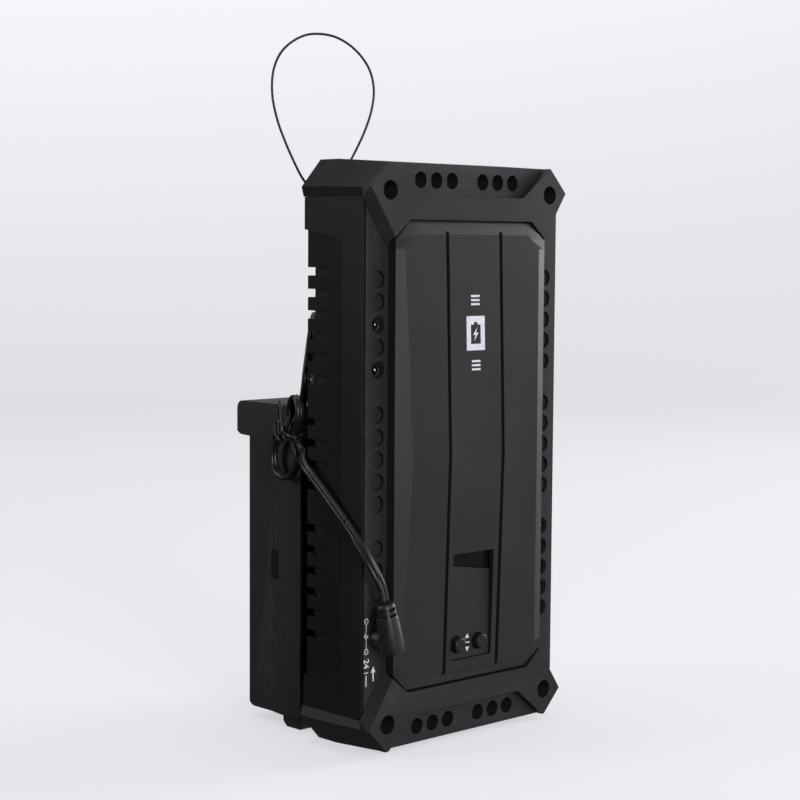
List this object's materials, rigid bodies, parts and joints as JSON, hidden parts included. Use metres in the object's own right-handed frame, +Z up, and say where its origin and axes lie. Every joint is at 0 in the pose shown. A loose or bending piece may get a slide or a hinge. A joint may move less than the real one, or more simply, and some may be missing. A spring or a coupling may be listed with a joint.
{
  "type": "battery power box",
  "caption": "Tall black plastic DC power box on its end bumper, with display, buttons, columns of sockets, clip-on battery pack, hanging wire loop and a tied power lead with a right-angle plug.",
  "frame": {"origin": "centre of the bounding box of the box and its pack, on the floor plane under the end bumper and the pack's foot", "axes": "+X to the right seen from the front, +Y towards the pack at the back, +Z up along the longest side"},
  "size_m": [0.152, 0.1257, 0.3474],
  "materials": {
    "shell": "fine-grained satin black",
    "panel": "satin black",
    "bumper": "fine-grained satin black",
    "pack_case": "fine-grained matt black",
    "lens": "smoked, glossy",
    "lead": "smooth soft black",
    "wire": "black coated steel strand",
    "dark_screw": "black oxide",
    "steel": "zinc plated",
    "circuit_board": "green solder mask",
    "socket": "moulded black",
    "aluminium": "bare, satin",
    "cell": "shrink-wrapped"
  },
  "bodies": {
    "box": {"address_down_switch": "socket", "address_up_switch": "socket", "bottom_bumper": "bumper", "channel_socket_1": "socket", "channel_socket_2": "socket", "control_plate": "panel", "corner_screw_1": "dark_screw", "corner_screw_2": "dark_screw", "corner_screw_3": "dark_screw", "corner_screw_4": "dark_screw", "display_board": "circuit_board", "display_lens": "lens", "filter_capacitor_1": "aluminium", "filter_capacitor_2": "aluminium", "front_cover": "panel", "hanging_wire": "wire", "heat_sink": "aluminium", "input_socket": "socket", "lead_side": "lead", "main_board": "circuit_board", "mount_screw_1": "steel", "mount_screw_2": "steel", "mount_screw_3": "steel", "mount_screw_4": "steel", "output_socket_1": "socket", "output_socket_2": "socket", "output_socket_3": "socket", "output_socket_4": "socket", "output_socket_5": "socket", "pack_mount": "shell", "radio_module": "circuit_board", "rear_shell": "shell", "segment_display": "socket", "top_bumper": "bumper", "wire_eyelet": "dark_screw", "wire_ferrule": "aluminium"},
    "battery": {"pack_front_case": "pack_case", "pack_rear_case": "pack_case", "pack_circuit_board": "circuit_board", "lead_gland": "lead", "lead_upper": "lead", "lead_hank": "lead", "lead_tie": "lead", "cell_1": "cell", "cell_2": "cell", "cell_3": "cell", "cell_4": "cell", "cell_5": "cell", "cell_6": "cell", "cell_7": "cell"},
    "plug": {"power_plug": "lead", "lead_lower": "lead"},
    "address_down": {"address_down_button": "panel"},
    "address_up": {"address_up_button": "panel"},
    "left_catch": {"left_release_catch": "shell"},
    "right_catch": {"right_release_catch": "shell"}
  },
  "joints": [
    {"name": "battery_lift", "type": "slide", "parent": "box", "child": "battery", "axis": [0, 0, 1], "range_m": [0, 0.02]},
    {"name": "plug_pull", "type": "slide", "parent": "box", "child": "plug", "axis": [0, -1, 0], "range_m": [0, 0.014]},
    {"name": "address_down_press", "type": "slide", "parent": "box", "child": "address_down", "axis": [0, 1, 0], "range_m": [0, 0.0009], "stiffness_N_per_m": 900, "springref_m": -0.001},
    {"name": "address_up_press", "type": "slide", "parent": "box", "child": "address_up", "axis": [0, 1, 0], "range_m": [0, 0.0009], "stiffness_N_per_m": 900, "springref_m": -0.001},
    {"name": "left_catch_press", "type": "slide", "parent": "battery", "child": "left_catch", "axis": [1, 0, 0], "range_m": [0, 0.002], "stiffness_N_per_m": 900, "springref_m": -0.001},
    {"name": "right_catch_press", "type": "slide", "parent": "battery", "child": "right_catch", "axis": [-1, 0, 0], "range_m": [0, 0.002], "stiffness_N_per_m": 900, "springref_m": -0.001}
  ]
}
